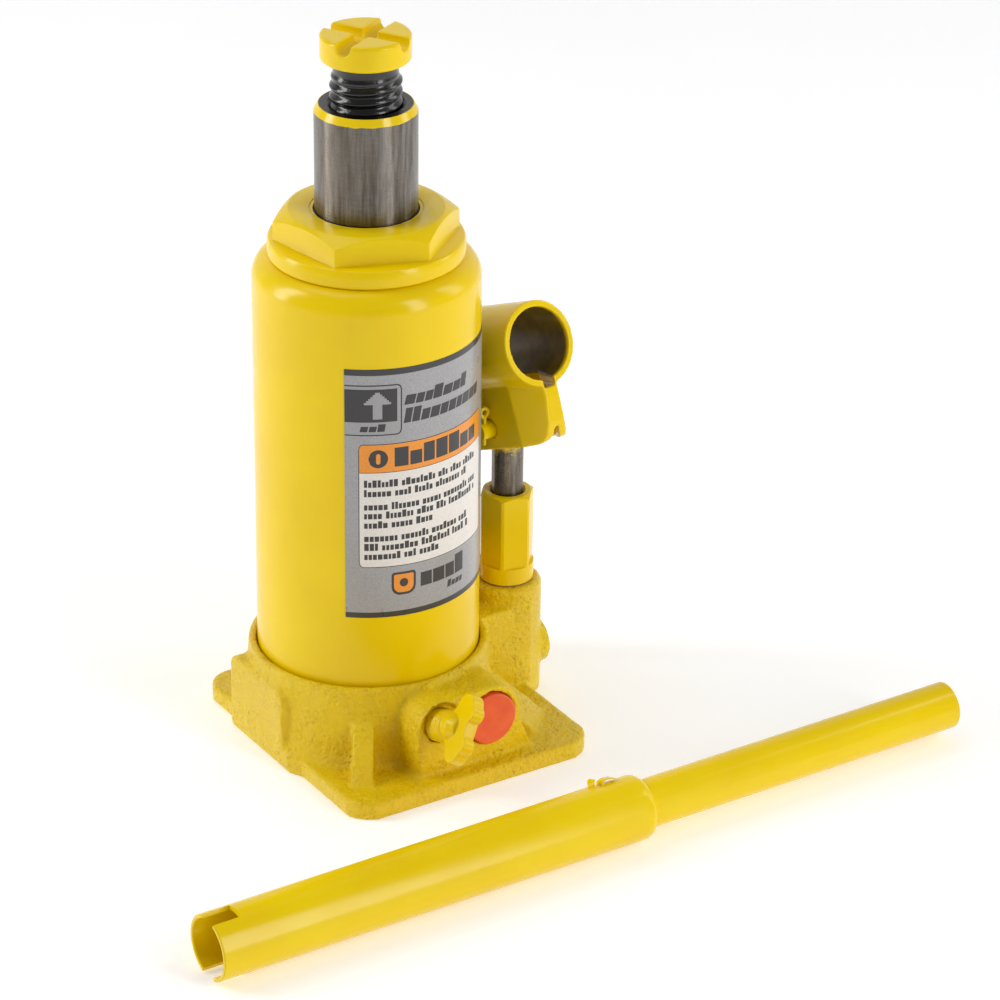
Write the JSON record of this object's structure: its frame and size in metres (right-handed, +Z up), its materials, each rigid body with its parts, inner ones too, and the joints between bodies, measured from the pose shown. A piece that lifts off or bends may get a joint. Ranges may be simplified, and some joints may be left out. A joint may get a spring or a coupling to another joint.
{
  "type": "hydraulic bottle jack",
  "caption": "Hydraulic bottle jack with a threaded extension screw, pump with a tilting handle socket, release valve and a telescoping tube handle.",
  "frame": {"origin": "underside of the base casting, on the axis of the ram", "axes": "+Z up along the ram, +X towards the pump, -Y towards the release valve; the loose handle lies on the floor at -Y"},
  "size_m": [0.3222, 0.1911, 0.2793],
  "materials": {
    "cast_paint": "thick gloss enamel over a rough sand casting",
    "paint": "smooth gloss enamel",
    "ram_steel": "ground, with fine scratches",
    "dark_steel": "blackened, wet with oil",
    "bare_steel": "turned",
    "label": "printed film, satin",
    "cap": "moulded, satin gloss",
    "rubber": "matte",
    "fibre": "pressed fibre"
  },
  "bodies": {
    "jack_body": {"base": "cast_paint", "tank": "paint", "tank_gasket": "rubber", "label": "label", "filler_plug": "rubber", "top_nut": "paint", "wiper_ring": "rubber", "rod_seal": "rubber", "inner_cylinder": "bare_steel", "cylinder_gasket": "fibre", "pump_barrel": "paint", "barrel_gasket": "fibre", "plunger_seal": "rubber", "overload_cap": "cap", "overload_screw": "bare_steel", "overload_ball": "bare_steel", "check_plug": "paint", "suction_ball": "bare_steel"},
    "ram": {"ram": "ram_steel", "piston_seal": "rubber"},
    "screw_guide": {"screw_guide_ring": "fibre"},
    "screw": {"extension_screw": "dark_steel", "saddle": "paint"},
    "plunger": {"plunger": "ram_steel"},
    "link": {"link_left": "paint", "link_right": "paint", "link_pin": "paint", "link_cotter": "bare_steel"},
    "socket": {"handle_socket": "paint", "plunger_pin": "paint", "plunger_cotter": "paint", "fulcrum_pin": "paint", "fulcrum_cotter": "bare_steel"},
    "release_ball": {"release_ball": "bare_steel"},
    "release_valve": {"release_valve": "paint", "valve_seal": "rubber"},
    "handle_tube": {"handle_tube": "paint"},
    "handle_grip": {"handle_grip": "paint"}
  },
  "joints": [
    {"name": "ram_lift", "type": "slide", "parent": "jack_body", "child": "ram", "axis": [0, 0, 1], "range_m": [-0.036, 0.111]},
    {"name": "screw_rise", "type": "slide", "parent": "ram", "child": "screw_guide", "axis": [0, 0, 1], "range_m": [-0.0162, 0.06]},
    {"name": "screw_turn", "type": "hinge", "parent": "screw_guide", "child": "screw", "pos_m": [0, 0, 0.2], "axis": [0, 0, 1], "range_deg": [-1458.1, 5400.1]},
    {"name": "link_swing", "type": "hinge", "parent": "jack_body", "child": "link", "pos_m": [0.05524, 0.03087, 0.034], "axis": [-0.9903, -0.1392, 0], "range_deg": [-1, 1]},
    {"name": "handle_pump", "type": "hinge", "parent": "link", "child": "socket", "pos_m": [0.05524, 0.03087, 0.1133], "axis": [-0.9903, -0.1392, 0], "range_deg": [-15, 21]},
    {"name": "plunger_stroke", "type": "slide", "parent": "jack_body", "child": "plunger", "axis": [0, 0, 1], "range_m": [-0.0088, 0.0123]},
    {"name": "release_travel", "type": "slide", "parent": "jack_body", "child": "release_ball", "axis": [0, -0.9397, 0.342], "range_m": [0, 0.0024]},
    {"name": "release_turn", "type": "hinge", "parent": "release_ball", "child": "release_valve", "pos_m": [-0.0035, -0.06, 0.0276], "axis": [0, -0.9397, 0.342], "range_deg": [0, 540.1]},
    {"name": "handle_lift", "type": "slide", "parent": "jack_body", "child": "handle_tube", "axis": [0, 0, 1], "range_m": [0, 0.15]},
    {"name": "grip_slide", "type": "slide", "parent": "handle_tube", "child": "handle_grip", "axis": [-1, -0.0098, 0], "range_m": [0, 0.13]}
  ],
  "couplings": [
    {"joint": "screw_turn", "follows": "screw_rise", "rad_per_m": 1570.8},
    {"joint": "handle_pump", "follows": "plunger_stroke", "rad_per_m": 29.674},
    {"joint": "link_swing", "follows": "plunger_stroke", "rad_per_m": -0.63798},
    {"joint": "release_turn", "follows": "release_travel", "rad_per_m": 3927}
  ]
}
